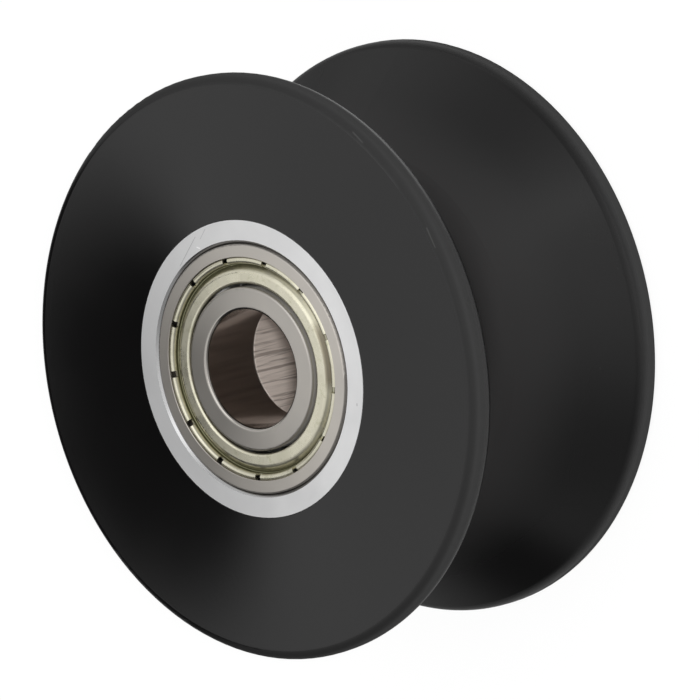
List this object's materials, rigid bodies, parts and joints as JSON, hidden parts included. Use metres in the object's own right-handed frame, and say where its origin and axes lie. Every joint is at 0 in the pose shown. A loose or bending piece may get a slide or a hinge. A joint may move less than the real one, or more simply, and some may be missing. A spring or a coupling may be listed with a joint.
{
  "type": "v groove wheel",
  "caption": "Plastic wheel with a V groove round its tread, turning on two shielded ball bearings held in a metal hub.",
  "frame": {"origin": "centre of the end face that the wheel lies on", "axes": "+Z along the axle, from the face it lies on to the upper face; X and Y across the wheel"},
  "size_m": [0.0984, 0.0984, 0.0466],
  "materials": {
    "tread_plastic": "fine turned face, matte",
    "hub_metal": "fine turned, satin",
    "ring_steel": "ground bearing steel",
    "shield_zinc": "pressed sheet with pale yellow zinc",
    "ball_steel": "polished",
    "cage_steel": "pressed ribbon",
    "spacer_steel": "drawn tube"
  },
  "bodies": {
    "wheel": {"tread": "tread_plastic", "hub": "hub_metal", "upper_outer_ring": "ring_steel", "upper_face_shield": "shield_zinc", "upper_back_shield": "shield_zinc", "lower_outer_ring": "ring_steel", "lower_face_shield": "shield_zinc", "lower_back_shield": "shield_zinc"},
    "upper_inner": {"upper_inner_ring": "ring_steel"},
    "lower_inner": {"lower_inner_ring": "ring_steel", "spacer": "spacer_steel"},
    "upper_cage": {"upper_face_cage_half": "cage_steel", "upper_back_cage_half": "cage_steel", "upper_cage_rivets": "cage_steel"},
    "upper_ball_1": {"upper_ball_1": "ball_steel"},
    "upper_ball_2": {"upper_ball_2": "ball_steel"},
    "upper_ball_3": {"upper_ball_3": "ball_steel"},
    "upper_ball_4": {"upper_ball_4": "ball_steel"},
    "upper_ball_5": {"upper_ball_5": "ball_steel"},
    "upper_ball_6": {"upper_ball_6": "ball_steel"},
    "upper_ball_7": {"upper_ball_7": "ball_steel"},
    "upper_ball_8": {"upper_ball_8": "ball_steel"},
    "upper_ball_9": {"upper_ball_9": "ball_steel"},
    "lower_cage": {"lower_face_cage_half": "cage_steel", "lower_back_cage_half": "cage_steel", "lower_cage_rivets": "cage_steel"},
    "lower_ball_1": {"lower_ball_1": "ball_steel"},
    "lower_ball_2": {"lower_ball_2": "ball_steel"},
    "lower_ball_3": {"lower_ball_3": "ball_steel"},
    "lower_ball_4": {"lower_ball_4": "ball_steel"},
    "lower_ball_5": {"lower_ball_5": "ball_steel"},
    "lower_ball_6": {"lower_ball_6": "ball_steel"},
    "lower_ball_7": {"lower_ball_7": "ball_steel"},
    "lower_ball_8": {"lower_ball_8": "ball_steel"},
    "lower_ball_9": {"lower_ball_9": "ball_steel"}
  },
  "joints": [
    {"name": "upper_ring_spin", "type": "hinge", "parent": "wheel", "child": "upper_inner", "pos_m": [0, 0, 0.0406], "axis": [0, 0, 1], "continuous": true},
    {"name": "lower_ring_spin", "type": "hinge", "parent": "wheel", "child": "lower_inner", "pos_m": [0, 0, 0.006], "axis": [0, 0, 1], "continuous": true},
    {"name": "upper_cage_spin", "type": "hinge", "parent": "wheel", "child": "upper_cage", "pos_m": [0, 0, 0.0406], "axis": [0, 0, 1], "continuous": true},
    {"name": "upper_ball_1_spin", "type": "hinge", "parent": "upper_cage", "child": "upper_ball_1", "pos_m": [0.0155, 0, 0.0406], "axis": [0, 0, 1], "continuous": true},
    {"name": "upper_ball_2_spin", "type": "hinge", "parent": "upper_cage", "child": "upper_ball_2", "pos_m": [0.01187, 0.00996, 0.0406], "axis": [0, 0, 1], "continuous": true},
    {"name": "upper_ball_3_spin", "type": "hinge", "parent": "upper_cage", "child": "upper_ball_3", "pos_m": [0.00269, 0.01526, 0.0406], "axis": [0, 0, 1], "continuous": true},
    {"name": "upper_ball_4_spin", "type": "hinge", "parent": "upper_cage", "child": "upper_ball_4", "pos_m": [-0.00775, 0.01342, 0.0406], "axis": [0, 0, 1], "continuous": true},
    {"name": "upper_ball_5_spin", "type": "hinge", "parent": "upper_cage", "child": "upper_ball_5", "pos_m": [-0.01457, 0.0053, 0.0406], "axis": [0, 0, 1], "continuous": true},
    {"name": "upper_ball_6_spin", "type": "hinge", "parent": "upper_cage", "child": "upper_ball_6", "pos_m": [-0.01457, -0.0053, 0.0406], "axis": [0, 0, 1], "continuous": true},
    {"name": "upper_ball_7_spin", "type": "hinge", "parent": "upper_cage", "child": "upper_ball_7", "pos_m": [-0.00775, -0.01342, 0.0406], "axis": [0, 0, 1], "continuous": true},
    {"name": "upper_ball_8_spin", "type": "hinge", "parent": "upper_cage", "child": "upper_ball_8", "pos_m": [0.00269, -0.01526, 0.0406], "axis": [0, 0, 1], "continuous": true},
    {"name": "upper_ball_9_spin", "type": "hinge", "parent": "upper_cage", "child": "upper_ball_9", "pos_m": [0.01187, -0.00996, 0.0406], "axis": [0, 0, 1], "continuous": true},
    {"name": "lower_cage_spin", "type": "hinge", "parent": "wheel", "child": "lower_cage", "pos_m": [0, 0, 0.006], "axis": [0, 0, 1], "continuous": true},
    {"name": "lower_ball_1_spin", "type": "hinge", "parent": "lower_cage", "child": "lower_ball_1", "pos_m": [0.0155, 0, 0.006], "axis": [0, 0, 1], "continuous": true},
    {"name": "lower_ball_2_spin", "type": "hinge", "parent": "lower_cage", "child": "lower_ball_2", "pos_m": [0.01187, -0.00996, 0.006], "axis": [0, 0, 1], "continuous": true},
    {"name": "lower_ball_3_spin", "type": "hinge", "parent": "lower_cage", "child": "lower_ball_3", "pos_m": [0.00269, -0.01526, 0.006], "axis": [0, 0, 1], "continuous": true},
    {"name": "lower_ball_4_spin", "type": "hinge", "parent": "lower_cage", "child": "lower_ball_4", "pos_m": [-0.00775, -0.01342, 0.006], "axis": [0, 0, 1], "continuous": true},
    {"name": "lower_ball_5_spin", "type": "hinge", "parent": "lower_cage", "child": "lower_ball_5", "pos_m": [-0.01457, -0.0053, 0.006], "axis": [0, 0, 1], "continuous": true},
    {"name": "lower_ball_6_spin", "type": "hinge", "parent": "lower_cage", "child": "lower_ball_6", "pos_m": [-0.01457, 0.0053, 0.006], "axis": [0, 0, 1], "continuous": true},
    {"name": "lower_ball_7_spin", "type": "hinge", "parent": "lower_cage", "child": "lower_ball_7", "pos_m": [-0.00775, 0.01342, 0.006], "axis": [0, 0, 1], "continuous": true},
    {"name": "lower_ball_8_spin", "type": "hinge", "parent": "lower_cage", "child": "lower_ball_8", "pos_m": [0.00269, 0.01526, 0.006], "axis": [0, 0, 1], "continuous": true},
    {"name": "lower_ball_9_spin", "type": "hinge", "parent": "lower_cage", "child": "lower_ball_9", "pos_m": [0.01187, 0.00996, 0.006], "axis": [0, 0, 1], "continuous": true}
  ],
  "couplings": [
    {"joint": "upper_cage_spin", "follows": "upper_ring_spin", "ratio": 0.39758},
    {"joint": "upper_ball_1_spin", "follows": "upper_ring_spin", "ratio": -2.3385},
    {"joint": "upper_ball_2_spin", "follows": "upper_ring_spin", "ratio": -2.3385},
    {"joint": "upper_ball_3_spin", "follows": "upper_ring_spin", "ratio": -2.3385},
    {"joint": "upper_ball_4_spin", "follows": "upper_ring_spin", "ratio": -2.3385},
    {"joint": "upper_ball_5_spin", "follows": "upper_ring_spin", "ratio": -2.3385},
    {"joint": "upper_ball_6_spin", "follows": "upper_ring_spin", "ratio": -2.3385},
    {"joint": "upper_ball_7_spin", "follows": "upper_ring_spin", "ratio": -2.3385},
    {"joint": "upper_ball_8_spin", "follows": "upper_ring_spin", "ratio": -2.3385},
    {"joint": "upper_ball_9_spin", "follows": "upper_ring_spin", "ratio": -2.3385},
    {"joint": "lower_cage_spin", "follows": "lower_ring_spin", "ratio": 0.39758},
    {"joint": "lower_ball_1_spin", "follows": "lower_ring_spin", "ratio": -2.3385},
    {"joint": "lower_ball_2_spin", "follows": "lower_ring_spin", "ratio": -2.3385},
    {"joint": "lower_ball_3_spin", "follows": "lower_ring_spin", "ratio": -2.3385},
    {"joint": "lower_ball_4_spin", "follows": "lower_ring_spin", "ratio": -2.3385},
    {"joint": "lower_ball_5_spin", "follows": "lower_ring_spin", "ratio": -2.3385},
    {"joint": "lower_ball_6_spin", "follows": "lower_ring_spin", "ratio": -2.3385},
    {"joint": "lower_ball_7_spin", "follows": "lower_ring_spin", "ratio": -2.3385},
    {"joint": "lower_ball_8_spin", "follows": "lower_ring_spin", "ratio": -2.3385},
    {"joint": "lower_ball_9_spin", "follows": "lower_ring_spin", "ratio": -2.3385}
  ]
}
